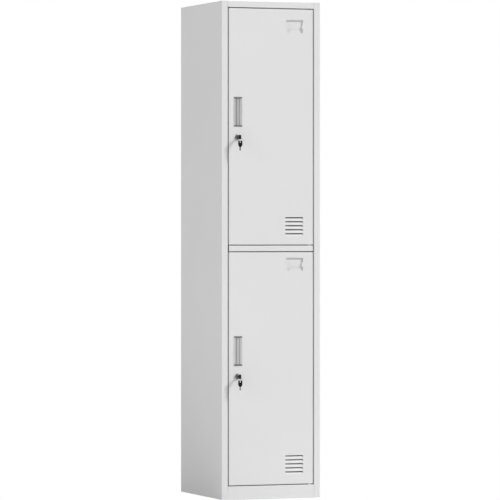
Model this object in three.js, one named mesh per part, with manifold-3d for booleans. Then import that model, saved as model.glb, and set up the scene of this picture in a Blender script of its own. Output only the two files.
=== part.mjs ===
// A two-door steel locker: one column, an upper and a lower compartment, each closed by a right-hung door
// with pressed louvres, a pressed card holder, a sunk pull and a cam lock with its key and a spare key.
// Millimetres, +Z up, the doors face -Y. The origin is on the floor, under the middle of the overall box.
import * as THREE from "three";
import { ConvexGeometry } from "three/addons/geometries/ConvexGeometry.js";
import { mergeVertices } from "three/addons/utils/BufferGeometryUtils.js";
import Module from "manifold-3d";

const wasm = await Module();
wasm.setup();

// Case
const caseWidth = 380;
const caseDepth = 450;
const caseHeight = 1800;
const sheet = 0.8;
const bendRadius = 0.8;
const fitGap = 0.3;
const overrun = 1;

// Folded front frame, floor, divider and roof
const stileWidth = 23.4;
const frameDepth = 22;
const stileLip = 10;
const rearFlange = 18;
const headerHeight = 22.3;
const plinthHeight = 47.8;
const plinthFoot = 30;
const railHeight = 20.6;
const stopLip = 11;
const trayFlange = 15;

// Doors and their hinges
const doorGap = 3.4;
const doorSideGap = 4.2;
const doorDepth = 18;
const doorReturn = 12;
const lowerDoorHeight = 841.6;
const hingeInset = 13;
const hingeSetback = 7.5;
const hingeClearance = 1.5;
const pinRadius = 3;
const pinReach = 8;
const pinHeadRadius = 4.5;
const pinHeadHeight = 1.5;
const washerRadius = 6;
const bumperRadius = 3.5;
const bumperInset = 22;

// Door stiffener, a hat section
const hatCrown = 30;
const hatBrim = 14;
const hatHeight = 12;
const hatEndGap = 3;

// Louvres, pressed inwards below a slit
const louvreCount = 5;
const louvrePitch = 14.5;
const louvreLength = 69;
const louvreHeight = 10;
const louvreSlit = 3;
const louvreDepth = 4.5;
const louvreEndRun = 1.2;
const louvreEndGap = 38.4;

// Card holder, a pressed recess with three lugs over it
const cardWidth = 66;
const cardHeight = 46.5;
const cardDepth = 5.4;
const cardEndGap = 38.4;
const sideLugReach = 5;
const sideLugTaper = 3;
const sideLugHeight = 18;
const sideLugCentreShare = 0.47;
const bottomLugReach = 9.5;
const bottomLugWidth = 45;
const bottomLugTaper = 7;

// Sunk pull: a channel with an undercut rib between two finger grooves, and a cap on each end
const pullWidth = 31.5;
const pullHeight = 107;
const pullInset = 18.9;
const pullDepth = 7.5;
const pullProud = 1.2;
const pullFlange = 2.5;
const pullSlopeRun = 8;
const leftGrooveDepth = 3;
const rightGrooveDepth = 4.2;
const ribWidth = 9;
const ribStem = 7.4;
const ribEdge = 1;
const ribSink = 1.2;
const capHeight = 5;
const capProud = 0.3;

// Cam lock
const lockInset = 32.4;
const lockBelowPull = 38.5;
const lockFlangeRadius = 9.75;
const lockFlangeHeight = 6;
const lockChamfer = 1.2;
const lockBarrelRadius = 7.7;
const plugRadius = 5.5;
const plugProud = 0.6;
const nutAcrossFlats = 22;
const nutHeight = 4;
const tenonSize = 6;
const camGrip = 7.5;
const camWidth = 13;
const camThickness = 2;
const camClearance = 1;
const camScrewRadius = 2;
const camScrewHeadRadius = 4;
const camScrewHeadHeight = 2;
const camScrewBite = 5;

// Keys and the ring that joins them
const bladeThickness = 1.8;
const bladeWidth = 6;
const bladeLength = 13;
const bladeTip = 2.5;
const bladeSocket = 8;
const bladeNotchPitch = 3.2;
const bladeNotchDepths = [1, 1.6, 0.8];
const bowStandOff = 13;
const bowLength = 23;
const bowWidth = 16;
const bowNeck = 8;
const bowTaper = 8;
const bowThickness = 3.6;
const bowCorner = 5;
const bowHoleRadius = 3.5;
const bowHoleInset = 5.5;
const ringRadius = 8;
const ringWire = 0.7;
const ringPlay = 1;
const spareTurn = THREE.MathUtils.degToRad(40);

// Coat rods and their sockets
const rodRadius = 8;
const rodWall = 1.2;
const rodDrop = 62;
const socketBaseRadius = 15;
const socketBaseHeight = 2.5;
const socketCupRadius = 10.5;
const socketCupHeight = 12;

// Where the fittings stand on each door
const upperCardDrop = 38.5;
const upperPullRise = 480;
const upperLouvreRise = 99.5;
const lowerCardDrop = 20.3;
const lowerPullRise = 485;
const lowerLouvreRise = 104;

// Faces that follow from those sizes
const front = -caseDepth / 2;
const back = caseDepth / 2;
const halfInside = caseWidth / 2 - sheet - fitGap;
const halfOpening = caseWidth / 2 - stileWidth;
const doorEdge = halfOpening - doorSideGap;
const stopFace = front + frameDepth;
const frameRear = stopFace + sheet + bendRadius;
const backPanelRear = back - sheet - fitGap;
const trayRear = backPanelRear - sheet - fitGap;
const wallTop = caseHeight - sheet - fitGap;
const headerBottom = caseHeight - headerHeight;
const lowerDoorBottom = plinthHeight + doorGap;
const railBottom = lowerDoorBottom + lowerDoorHeight + doorGap;
const railTop = railBottom + railHeight;
const shelfTop = railTop + stopLip;
const floorTop = plinthHeight + stopLip;
const upperDoorBottom = railTop + doorGap;
const upperDoorHeight = headerBottom - doorGap - upperDoorBottom;
const hingeX = doorEdge - hingeInset;
const hingeY = front + hingeSetback;
const doorSweep = Math.hypot(hingeInset, doorDepth - hingeSetback) + hingeClearance;

// Faces on a door: x from its middle, y from its front face, z from its bottom edge
const cardRight = doorEdge - cardEndGap;
const cardLeft = cardRight - cardWidth;
const louvreRight = doorEdge - louvreEndGap;
const pullLeft = pullInset - doorEdge;
const pullRight = pullLeft + pullWidth;
const lockX = lockInset - doorEdge;
const camFront = frameDepth + camClearance;
const camRear = camFront + camThickness;
const camReach = lockX + halfOpening + camGrip;
const keyHoleY = -bowStandOff - bowLength + bowHoleInset;

const bendSteps = 2;
const bowSteps = 4;
const roundSteps = 24;
const smallRoundSteps = 16;
const wireSteps = 8;

const paint = new THREE.MeshStandardMaterial({ color: 0xdcdcdc, roughness: 0.5, metalness: 0 });
const aluminium = new THREE.MeshStandardMaterial({ color: 0xb4b4b4, roughness: 0.4, metalness: 0.8 });
const greyPlastic = new THREE.MeshStandardMaterial({ color: 0x6c6c6c, roughness: 0.6, metalness: 0 });
const blackPlastic = new THREE.MeshStandardMaterial({ color: 0x101010, roughness: 0.5, metalness: 0 });
const zinc = new THREE.MeshStandardMaterial({ color: 0x8a8a8a, roughness: 0.35, metalness: 0.9 });
const steel = new THREE.MeshStandardMaterial({ color: 0xc4c4c4, roughness: 0.3, metalness: 1 });
const nylon = new THREE.MeshStandardMaterial({ color: 0xe8e8e4, roughness: 0.6, metalness: 0 });
const rubber = new THREE.MeshStandardMaterial({ color: 0x2a2a2a, roughness: 0.9, metalness: 0 });

const unitX = new THREE.Vector3(1, 0, 0);
const unitY = new THREE.Vector3(0, 1, 0);
const unitZ = new THREE.Vector3(0, 0, 1);
const at = (a, b) => new THREE.Vector2(a, b);

// A closed three.js geometry as a solid that can be joined and cut.
function solid(geometry) {
  const bare = geometry.clone();
  bare.deleteAttribute("normal");
  bare.deleteAttribute("uv");
  const merged = mergeVertices(bare, 1e-4);
  return new wasm.Manifold(
    new wasm.Mesh({
      numProp: 3,
      vertProperties: merged.attributes.position.array,
      triVerts: new Uint32Array(merged.index.array),
    }),
  );
}

// A solid back as a geometry, with flat faces.
function geometryOf(made) {
  const mesh = made.getMesh();
  const geometry = new THREE.BufferGeometry()
    .setAttribute("position", new THREE.BufferAttribute(new Float32Array(mesh.vertProperties), mesh.numProp))
    .setIndex(new THREE.BufferAttribute(new Uint32Array(mesh.triVerts), 1))
    .toNonIndexed();
  geometry.computeVertexNormals();
  return geometry;
}

function piece(name, made, material) {
  const mesh = new THREE.Mesh(made.isBufferGeometry ? made : geometryOf(made), material);
  mesh.name = name;
  return mesh;
}

function groupAt(x, y, z, ...children) {
  const group = new THREE.Group().add(...children);
  group.position.set(x, y, z);
  return group;
}

// A shape drawn in (x, y) and raised along Z, in (y, z) and run along X, or in (x, z) and run along Y.
function extruded(shape, axis, from, to, curveSegments = bendSteps) {
  const geometry = new THREE.ExtrudeGeometry(shape, { depth: to - from, bevelEnabled: false, curveSegments });
  const turn = new THREE.Matrix4();
  if (axis === "z") turn.setPosition(0, 0, from);
  if (axis === "x") turn.makeBasis(unitY, unitZ, unitX).setPosition(from, 0, 0);
  if (axis === "y") turn.makeBasis(unitX, unitZ, unitY.clone().negate()).setPosition(0, to, 0);
  return geometry.applyMatrix4(turn);
}

function block(x0, x1, y0, y1, z0, z1) {
  const [left, right] = x0 < x1 ? [x0, x1] : [x1, x0];
  const box = new THREE.BoxGeometry(right - left, y1 - y0, z1 - z0);
  return solid(box.translate((left + right) / 2, (y0 + y1) / 2, (z0 + z1) / 2));
}

// A round solid about the Y axis, from a profile of (radius, height) points that runs up its outside.
function turned(profile, steps = roundSteps) {
  return new THREE.LatheGeometry(profile, steps);
}

// A ring about the Y axis, between two radii and two heights.
function sleeve(inner, outer, y0, y1, steps = roundSteps) {
  return turned([at(inner, y0), at(outer, y0), at(outer, y1), at(inner, y1), at(inner, y0)], steps);
}

function cylinder(radius, y0, y1, steps = roundSteps) {
  return new THREE.CylinderGeometry(radius, radius, y1 - y0, steps).translate(0, (y0 + y1) / 2, 0);
}

// Outline of folded sheet. The points run along its left face, and its thickness lies to their right.
function folded(points, thickness = sheet, radius = bendRadius) {
  const left = [];
  const right = [];
  points.forEach((point, i) => {
    const before = i > 0 && point.clone().sub(points[i - 1]).normalize();
    const after = i < points.length - 1 && points[i + 1].clone().sub(point).normalize();
    if (!before || !after) {
      const way = before || after;
      left.push(point);
      right.push(at(point.x + way.y * thickness, point.y - way.x * thickness));
      return;
    }
    const angle = Math.atan2(before.cross(after), before.dot(after));
    const side = angle > 0 ? -1 : 1;
    const leftRadius = angle > 0 ? radius : radius + thickness;
    const rightRadius = angle > 0 ? radius + thickness : radius;
    const normal = at(before.y, -before.x).multiplyScalar(side);
    const nextNormal = at(after.y, -after.x).multiplyScalar(side);
    const centre = normal
      .clone()
      .add(nextNormal)
      .multiplyScalar(leftRadius / (1 + normal.dot(nextNormal)))
      .add(point);
    for (let k = 0; k <= 2 * bendSteps; k++) {
      const out = normal.clone().rotateAround(at(0, 0), (angle * k) / (2 * bendSteps));
      left.push(centre.clone().addScaledVector(out, -leftRadius));
      right.push(centre.clone().addScaledVector(out, -rightRadius));
    }
  });
  return new THREE.Shape([...left, ...right.reverse()]);
}

// A rectangle with the two corners at its near side rounded, as a folded edge looks from its end.
function edgedRectangle(a0, a1, b0, b1, radius) {
  const shape = new THREE.Shape();
  shape.moveTo(a1, b1).lineTo(a0, b1).lineTo(a0, b0 + radius);
  shape.absarc(a0 + radius, b0 + radius, radius, Math.PI, 1.5 * Math.PI, false);
  shape.lineTo(a1 - radius, b0);
  shape.absarc(a1 - radius, b0 + radius, radius, 1.5 * Math.PI, 2 * Math.PI, false);
  return shape;
}

// Side panels, each folded at the front into a stile and at the rear into a flange
function sidePanel(side) {
  const outline = [
    at(-halfOpening - stileLip, stopFace),
    at(-halfOpening, stopFace),
    at(-halfOpening, front),
    at(-caseWidth / 2, front),
    at(-caseWidth / 2, back),
    at(rearFlange - caseWidth / 2, back),
  ];
  const points = side < 0 ? outline : outline.map((p) => at(-p.x, p.y)).reverse();
  return extruded(folded(points), "z", 0, wallTop);
}

// The two flanges that turn a tray down inside the side panels, under its top face.
function sideFlanges(tray, top) {
  let made = tray;
  for (const side of [-1, 1]) {
    const outer = side * halfInside;
    const inner = side * (halfInside - sheet);
    made = made.add(block(outer, inner, frameRear + fitGap, trayRear, top - trayFlange, top - sheet / 2));
  }
  return made;
}

// Cuts a tray's front corners away, so that only what lies within half a width stands between the stiles.
function clearStiles(tray, halfWidth, z0, z1) {
  let made = tray;
  for (const side of [-1, 1]) {
    const outer = side * (caseWidth / 2 + overrun);
    made = made.subtract(block(side * halfWidth, outer, front - overrun, frameRear, z0 - overrun, z1));
  }
  return made;
}

// The notch in a stop lip beside the hinge, where the door's rear corner swings past.
function hingeRelief(z0, z1) {
  const rear = hingeY + doorSweep;
  return block(
    hingeX - doorSweep,
    halfOpening + doorSideGap,
    stopFace - overrun,
    rear,
    z0 - hingeClearance,
    z1 + hingeClearance,
  );
}

// A hole for a hinge pin, upright through sheet at the level z.
function pinHole(x, y, z) {
  const reach = sheet + overrun;
  const hole = cylinder(pinRadius + fitGap, -reach, reach, smallRoundSteps);
  return solid(hole.rotateX(Math.PI / 2).translate(x, y, z));
}

function roof() {
  const outline = [
    at(stopFace, headerBottom - stopLip),
    at(stopFace, headerBottom),
    at(front, headerBottom),
    at(front, caseHeight),
    at(back, caseHeight),
  ];
  const half = caseWidth / 2;
  let made = solid(extruded(folded(outline), "x", -half, half));
  made = clearStiles(made, halfOpening - fitGap, headerBottom - stopLip, caseHeight - sheet);
  made = sideFlanges(made, caseHeight);
  made = made.subtract(hingeRelief(headerBottom - stopLip, headerBottom - doorGap));
  return made.subtract(pinHole(hingeX, hingeY, headerBottom));
}

function divider() {
  const outline = [
    at(stopFace, railBottom - stopLip),
    at(stopFace, railBottom),
    at(front, railBottom),
    at(front, railTop),
    at(stopFace, railTop),
    at(stopFace, shelfTop),
    at(trayRear, shelfTop),
    at(trayRear, shelfTop - trayFlange),
  ];
  let made = solid(extruded(folded(outline), "x", -halfInside, halfInside));
  made = clearStiles(made, doorEdge, railBottom - stopLip, shelfTop + overrun);
  made = sideFlanges(made, shelfTop);
  made = made.subtract(hingeRelief(railBottom - stopLip, railBottom - doorGap));
  made = made.subtract(hingeRelief(upperDoorBottom, shelfTop));
  made = made.subtract(pinHole(hingeX, hingeY, railBottom));
  return made.subtract(pinHole(hingeX, hingeY, railTop));
}

function floorTray() {
  const outline = [
    at(front + plinthFoot, 0),
    at(front, 0),
    at(front, plinthHeight),
    at(stopFace, plinthHeight),
    at(stopFace, floorTop),
    at(trayRear, floorTop),
    at(trayRear, floorTop - trayFlange),
  ];
  let made = solid(extruded(folded(outline), "x", -halfInside, halfInside));
  made = clearStiles(made, halfOpening - fitGap, 0, floorTop + overrun);
  made = sideFlanges(made, floorTop);
  made = made.subtract(hingeRelief(lowerDoorBottom, floorTop));
  return made.subtract(pinHole(hingeX, hingeY, plinthHeight));
}

function backPanel() {
  return block(-halfInside, halfInside, backPanelRear - sheet, backPanelRear, 0, wallTop);
}

// A headed hinge pin through the sheet of the frame at z, reaching up (1) or down (-1) into its door.
function hingePin(z, way) {
  const head = -sheet - fitGap;
  const reach = doorGap + pinReach;
  const pin = turned(
    [
      at(0, head - pinHeadHeight),
      at(pinHeadRadius, head - pinHeadHeight),
      at(pinHeadRadius, head),
      at(pinRadius, head),
      at(pinRadius, reach - pinRadius / 2),
      at(pinRadius / 2, reach),
      at(0, reach),
    ],
    smallRoundSteps,
  );
  return pin.rotateX((way * Math.PI) / 2).translate(hingeX, hingeY, z);
}

// The washer that carries a door on its lower pin.
function hingeWasher(z) {
  const ring = sleeve(pinRadius + fitGap, washerRadius, fitGap, doorGap - fitGap, smallRoundSteps);
  return ring.rotateX(Math.PI / 2).translate(hingeX, hingeY, z);
}

// A buffer on a stop lip, behind the free corner of a door. The lip's middle is level with z.
function bumper(z) {
  const disc = cylinder(bumperRadius, front + doorDepth + fitGap, stopFace - fitGap, smallRoundSteps);
  return disc.translate(bumperInset - doorEdge, 0, z);
}

function coatRod() {
  const end = halfInside - socketBaseHeight - fitGap;
  return sleeve(rodRadius - rodWall, rodRadius, -end, end).rotateZ(Math.PI / 2);
}

function rodSocket(side) {
  const cup = turned([
    at(0, 0),
    at(socketBaseRadius, 0),
    at(socketBaseRadius, socketBaseHeight),
    at(socketCupRadius, socketBaseHeight),
    at(socketCupRadius, socketCupHeight),
    at(rodRadius + fitGap, socketCupHeight),
    at(rodRadius + fitGap, socketBaseHeight),
    at(0, socketBaseHeight),
  ]);
  return cup.rotateZ((side * Math.PI) / 2).translate(side * halfInside, 0, 0);
}

// A coat rod with its sockets, hung below a ceiling at z.
function rodSet(tier, ceiling) {
  return groupAt(
    0,
    (stopFace + trayRear) / 2,
    ceiling - rodDrop,
    piece(`${tier}_coat_rod`, coatRod(), steel),
    piece(`${tier}_rod_left_socket`, rodSocket(-1), greyPlastic),
    piece(`${tier}_rod_right_socket`, rodSocket(1), greyPlastic),
  );
}

// One louvre as the sheet pressed inwards and the space that it leaves, with its top edge at z = 0.
function louvre() {
  const middle = louvreRight - louvreLength / 2;
  const inner = louvreLength / 2 - louvreEndRun;
  const depth = louvreDepth + sheet;
  const dish = (grow, y0, y1) => {
    const half = louvreLength / 2 + grow;
    const low = -louvreHeight - grow;
    const floor = -louvreSlit - grow;
    const corners = [-1, 1].flatMap((side) => [
      new THREE.Vector3(middle + side * half, y0, low),
      new THREE.Vector3(middle + side * half, y0, 0),
      new THREE.Vector3(middle + side * (half - louvreEndRun), y1, floor),
      new THREE.Vector3(middle + side * (half - louvreEndRun), y1, 0),
    ]);
    return solid(new ConvexGeometry(corners));
  };
  return {
    pressed: dish(sheet, sheet / 2, depth),
    space: dish(0, -sheet / 2, louvreDepth),
    slit: block(middle - inner, middle + inner, sheet, depth + overrun, -louvreSlit, overrun),
  };
}

// The window of the card holder in the door's face, narrowed by a lug at each side and one below.
function cardWindow(z0) {
  const z1 = z0 + cardHeight;
  const lugMiddle = z0 + cardHeight * sideLugCentreShare;
  const lugRoot = sideLugHeight / 2;
  const middle = (cardLeft + cardRight) / 2;
  const bottomRoot = bottomLugWidth / 2;
  return new THREE.Shape([
    at(cardLeft, z0),
    at(middle - bottomRoot, z0),
    at(middle - bottomRoot + bottomLugTaper, z0 + bottomLugReach),
    at(middle + bottomRoot - bottomLugTaper, z0 + bottomLugReach),
    at(middle + bottomRoot, z0),
    at(cardRight, z0),
    at(cardRight, lugMiddle - lugRoot),
    at(cardRight - sideLugReach, lugMiddle - lugRoot + sideLugTaper),
    at(cardRight - sideLugReach, lugMiddle + lugRoot - sideLugTaper),
    at(cardRight, lugMiddle + lugRoot),
    at(cardRight, z1),
    at(cardLeft, z1),
    at(cardLeft, lugMiddle + lugRoot),
    at(cardLeft + sideLugReach, lugMiddle + lugRoot - sideLugTaper),
    at(cardLeft + sideLugReach, lugMiddle - lugRoot + sideLugTaper),
    at(cardLeft, lugMiddle - lugRoot),
  ]);
}

// The height of a door's lock above the door's bottom edge.
function lockRise(door) {
  return door.pullRise - pullHeight / 2 - lockBelowPull;
}

// A door's closed outer form, or its hollow, with rounded front edges on all four sides.
function doorBox(door, inset, rear, radius) {
  const plan = edgedRectangle(inset - doorEdge, doorEdge - inset, inset, rear, radius);
  const elevation = edgedRectangle(inset, door.height - inset, inset, rear, radius).getPoints(bendSteps);
  const upright = solid(extruded(plan, "z", 0, door.height));
  const across = new THREE.Shape(elevation.map((p) => at(p.y, p.x)));
  return upright.intersect(solid(extruded(across, "x", -doorEdge, doorEdge)));
}

function doorPan(door) {
  const outer = doorBox(door, 0, doorDepth, bendRadius + sheet);
  const inner = doorBox(door, sheet, doorDepth - sheet, bendRadius);
  const mouthSide = doorEdge - doorReturn;
  const mouthTop = door.height - doorReturn;
  const mouth = block(-mouthSide, mouthSide, doorDepth / 2, doorDepth + overrun, doorReturn, mouthTop);
  let pan = outer.subtract(inner).subtract(mouth);

  const { pressed, space, slit } = louvre();
  for (let k = 0; k < louvreCount; k++) {
    const place = [0, 0, door.louvreRise - k * louvrePitch];
    pan = pan.add(pressed.translate(place)).subtract(space.translate(place)).subtract(slit.translate(place));
  }

  const z0 = door.height - door.cardDrop - cardHeight;
  const z1 = z0 + cardHeight;
  const rear = cardDepth + sheet;
  pan = pan.add(block(cardLeft - sheet, cardRight + sheet, sheet / 2, rear, z0 - sheet, z1 + sheet));
  pan = pan.subtract(block(cardLeft, cardRight, sheet, cardDepth, z0, z1));
  pan = pan.subtract(solid(extruded(cardWindow(z0), "y", -overrun, sheet + fitGap)));

  const pullSide = pullFlange - fitGap;
  const pullEnd = pullHeight / 2 - pullSide;
  pan = pan.subtract(
    block(
      pullLeft + pullSide,
      pullRight - pullSide,
      -overrun,
      sheet + overrun,
      door.pullRise - pullEnd,
      door.pullRise + pullEnd,
    ),
  );
  const lockHole = cylinder(lockBarrelRadius + fitGap, -overrun, sheet + overrun);
  pan = pan.subtract(solid(lockHole.translate(lockX, 0, lockRise(door))));
  for (const z of [0, door.height]) {
    pan = pan.subtract(pinHole(doorEdge - hingeInset, hingeSetback, z));
  }
  return pan;
}

function stiffener(door) {
  const middle = (pullRight + cardLeft) / 2;
  const foot = sheet + fitGap;
  const crown = hatCrown / 2;
  const outline = [
    at(middle + crown + hatBrim, foot),
    at(middle + crown, foot),
    at(middle + crown, foot + hatHeight),
    at(middle - crown, foot + hatHeight),
    at(middle - crown, foot),
    at(middle - crown - hatBrim, foot),
  ];
  const end = sheet + hatEndGap;
  return extruded(folded(outline), "z", end, door.height - end);
}

// The pull's channel in section, from its left edge: flange, left groove, rib, right groove and flange.
function pullSection() {
  const middle = pullWidth / 2;
  const tip = ribWidth / 2;
  const stem = ribStem / 2;
  const ribRear = ribSink + ribEdge;
  const slopeEnd = pullFlange + pullSlopeRun;
  return new THREE.Shape([
    at(0, -fitGap),
    at(0, -pullProud),
    at(pullFlange, -pullProud),
    at(slopeEnd, leftGrooveDepth),
    at(middle - stem, leftGrooveDepth),
    at(middle - stem, ribRear),
    at(middle - tip, ribRear),
    at(middle - tip, ribSink),
    at(middle + tip, ribSink),
    at(middle + tip, ribRear),
    at(middle + stem, ribRear),
    at(middle + stem, rightGrooveDepth),
    at(pullWidth - slopeEnd, rightGrooveDepth),
    at(pullWidth - pullFlange, -pullProud),
    at(pullWidth, -pullProud),
    at(pullWidth, -fitGap),
    at(pullWidth - pullFlange, -fitGap),
    at(pullWidth - pullFlange, pullDepth),
    at(pullFlange, pullDepth),
    at(pullFlange, -fitGap),
  ]);
}

// A cap over one end of the pull's channel. Its rim lies on the door and its plug fills the door's cut-out.
function pullCap(way) {
  const end = pullHeight / 2;
  const levels = (near, far) => (way > 0 ? [near, far] : [-far, -near]);
  const rim = block(0, pullWidth, -pullProud - capProud, -fitGap, ...levels(end - capHeight, end));
  const plugEnds = levels(end - capHeight, end - pullFlange);
  return rim.add(block(pullFlange, pullWidth - pullFlange, -pullProud, pullDepth, ...plugEnds));
}

function pull(tier, door) {
  const half = pullHeight / 2 - capHeight - fitGap;
  return groupAt(
    pullLeft,
    0,
    door.pullRise,
    piece(`${tier}_pull_channel`, extruded(pullSection(), "z", -half, half), aluminium),
    piece(`${tier}_pull_top_cap`, pullCap(1), greyPlastic),
    piece(`${tier}_pull_bottom_cap`, pullCap(-1), greyPlastic),
  );
}

function lockBody() {
  const bore = plugRadius + fitGap;
  return turned([
    at(bore, camFront - fitGap),
    at(bore, -lockFlangeHeight),
    at(lockFlangeRadius - lockChamfer, -lockFlangeHeight),
    at(lockFlangeRadius, lockChamfer - lockFlangeHeight),
    at(lockFlangeRadius, -fitGap),
    at(lockBarrelRadius, -fitGap),
    at(lockBarrelRadius, camFront - fitGap),
    at(bore, camFront - fitGap),
  ]);
}

function lockNut() {
  const y0 = sheet + fitGap;
  const corner = nutAcrossFlats / 2 / Math.cos(Math.PI / 6);
  const hexagon = solid(cylinder(corner, y0, y0 + nutHeight, 6));
  return hexagon.subtract(solid(cylinder(lockBarrelRadius + fitGap, y0 - overrun, y0 + nutHeight + overrun)));
}

function lockPlug() {
  const face = -lockFlangeHeight - plugProud;
  const tenon = tenonSize / 2;
  const slotSide = bladeThickness / 2 + fitGap;
  const slotHalf = bladeWidth / 2 + fitGap;
  const slotEnd = bladeLength - bowStandOff + fitGap;
  const shoulder = camFront - fitGap;
  const screwEnd = camRear - camScrewBite - fitGap;
  return solid(cylinder(plugRadius, face, shoulder))
    .add(block(-tenon, tenon, shoulder - overrun, camRear - fitGap, -tenon, tenon))
    .subtract(block(-slotSide, slotSide, face - overrun, slotEnd, -slotHalf, slotHalf))
    .subtract(solid(cylinder(camScrewRadius + fitGap, screwEnd, camRear + overrun, smallRoundSteps)));
}

// The cam hangs down while the door is unlocked. A quarter turn brings it behind the stile's lip.
function cam() {
  const half = camWidth / 2;
  const hole = tenonSize / 2 + fitGap;
  const shape = new THREE.Shape();
  shape.absarc(0, 0, half, 0, Math.PI, false);
  shape.lineTo(-half, -camReach);
  shape.lineTo(half, -camReach);
  shape.holes.push(new THREE.Path([at(-hole, -hole), at(-hole, hole), at(hole, hole), at(hole, -hole)]));
  return extruded(shape, "y", camFront, camRear, bowSteps);
}

function camScrew() {
  const seat = camRear + fitGap;
  return turned(
    [
      at(0, camRear - camScrewBite),
      at(camScrewRadius, camRear - camScrewBite),
      at(camScrewRadius, seat),
      at(camScrewHeadRadius, seat),
      at(camScrewHeadRadius, seat + camScrewHeadHeight),
      at(0, seat + camScrewHeadHeight),
    ],
    smallRoundSteps,
  );
}

// A key lies along +Y from the middle of the hole in its bow, with the bow's flat sides facing X.
function keyBow() {
  const y0 = -bowHoleInset;
  const y1 = bowLength - bowHoleInset;
  const half = bowWidth / 2;
  const shape = new THREE.Shape();
  shape.moveTo(y1, -bowNeck / 2);
  shape.lineTo(y1, bowNeck / 2);
  shape.lineTo(y1 - bowTaper, half);
  shape.absarc(y0 + bowCorner, half - bowCorner, bowCorner, Math.PI / 2, Math.PI, false);
  shape.absarc(y0 + bowCorner, bowCorner - half, bowCorner, Math.PI, 1.5 * Math.PI, false);
  shape.lineTo(y1 - bowTaper, -half);
  shape.holes.push(new THREE.Path().absarc(0, 0, bowHoleRadius, 0, 2 * Math.PI, true));
  const slotSide = bladeThickness / 2 + fitGap;
  const slotHalf = bladeWidth / 2 + fitGap;
  const slotStart = y1 - bladeSocket - fitGap;
  return solid(extruded(shape, "x", -bowThickness / 2, bowThickness / 2, bowSteps)).subtract(
    block(-slotSide, slotSide, slotStart, y1 + overrun, -slotHalf, slotHalf),
  );
}

function keyBlade() {
  const y0 = bowLength - bowHoleInset - bladeSocket;
  const y1 = bowLength - bowHoleInset + bladeLength;
  const half = bladeWidth / 2;
  const points = [at(y0, -half), at(y0, half), at(y1 - bladeTip, half), at(y1, half - bladeTip)];
  points.push(at(y1 - bladeTip / 2, -half));
  bladeNotchDepths.forEach((depth, k) => {
    const middle = y1 - bladeTip - (k + 1 / 2) * bladeNotchPitch;
    points.push(at(middle + depth, -half), at(middle, depth - half), at(middle - depth, -half));
  });
  return extruded(new THREE.Shape(points), "x", -bladeThickness / 2, bladeThickness / 2);
}

// How far a ring's wire dips across half the width of a piece that hangs on it.
function ringDip(halfWidth) {
  return ringRadius - Math.sqrt(ringRadius ** 2 - halfWidth ** 2);
}

// The ring hangs in the hole of the key in the lock, and the spare key hangs on the ring, turned on its wire.
function keySet(tier) {
  const room = bowHoleRadius - ringWire - fitGap;
  const wireDrop = room - ringDip(bowThickness / 2);
  const ringDrop = wireDrop + ringRadius;
  const spareSide = (bowThickness / 2) * Math.tan(spareTurn);
  const spareRoom = bowHoleRadius - ringWire / Math.cos(spareTurn) - ringPlay;
  const spareDip = ringDip(bowThickness / 2 / Math.cos(spareTurn));
  const spareDrop = ringDrop + ringRadius + Math.sqrt(spareRoom ** 2 - spareSide ** 2) - spareDip;
  const ring = new THREE.TorusGeometry(ringRadius, ringWire, wireSteps, roundSteps).rotateX(Math.PI / 2);
  const spare = groupAt(
    0,
    0,
    -spareDrop,
    piece(`${tier}_spare_key_bow`, keyBow(), blackPlastic),
    piece(`${tier}_spare_key_blade`, keyBlade(), steel),
  );
  spare.rotation.set(-Math.PI / 2, 0, spareTurn, "ZYX");
  return groupAt(
    0,
    keyHoleY,
    0,
    piece(`${tier}_key_bow`, keyBow(), blackPlastic),
    piece(`${tier}_key_blade`, keyBlade(), steel),
    groupAt(0, 0, -ringDrop, piece(`${tier}_key_ring`, ring, steel)),
    spare,
  );
}

function lock(tier, door) {
  return groupAt(
    lockX,
    0,
    lockRise(door),
    piece(`${tier}_lock_body`, lockBody(), zinc),
    piece(`${tier}_lock_nut`, lockNut(), zinc),
    piece(`${tier}_lock_plug`, lockPlug(), zinc),
    piece(`${tier}_lock_cam`, cam(), steel),
    piece(`${tier}_cam_screw`, camScrew(), steel),
    keySet(tier),
  );
}

function doorSet(tier, door) {
  return groupAt(
    0,
    front,
    door.bottom,
    piece(`${tier}_door_panel`, doorPan(door), paint),
    piece(`${tier}_door_stiffener`, stiffener(door), paint),
    pull(tier, door),
    lock(tier, door),
  );
}

// What the frame carries for one door: its hinge pins, its washer and its two buffers.
function hingeSet(tier, bottom, top) {
  const lipMiddle = (doorGap + stopLip) / 2;
  return groupAt(
    0,
    0,
    0,
    piece(`${tier}_door_bottom_pin`, hingePin(bottom, 1), steel),
    piece(`${tier}_door_top_pin`, hingePin(top, -1), steel),
    piece(`${tier}_hinge_washer`, hingeWasher(bottom), nylon),
    piece(`${tier}_door_bottom_buffer`, bumper(bottom + lipMiddle), rubber),
    piece(`${tier}_door_top_buffer`, bumper(top - lipMiddle), rubber),
  );
}

const upperDoor = {
  bottom: upperDoorBottom,
  height: upperDoorHeight,
  cardDrop: upperCardDrop,
  pullRise: upperPullRise,
  louvreRise: upperLouvreRise,
};
const lowerDoor = {
  bottom: lowerDoorBottom,
  height: lowerDoorHeight,
  cardDrop: lowerCardDrop,
  pullRise: lowerPullRise,
  louvreRise: lowerLouvreRise,
};

const locker = new THREE.Group().add(
  piece("left_side_panel", sidePanel(-1), paint),
  piece("right_side_panel", sidePanel(1), paint),
  piece("back_panel", backPanel(), paint),
  piece("roof_and_header", roof(), paint),
  piece("shelf_and_rail", divider(), paint),
  piece("floor_and_plinth", floorTray(), paint),
  rodSet("upper", caseHeight - sheet),
  rodSet("lower", shelfTop - sheet),
  hingeSet("upper", railTop, headerBottom),
  hingeSet("lower", plinthHeight, railBottom),
  doorSet("upper", upperDoor),
  doorSet("lower", lowerDoor),
);

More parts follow.
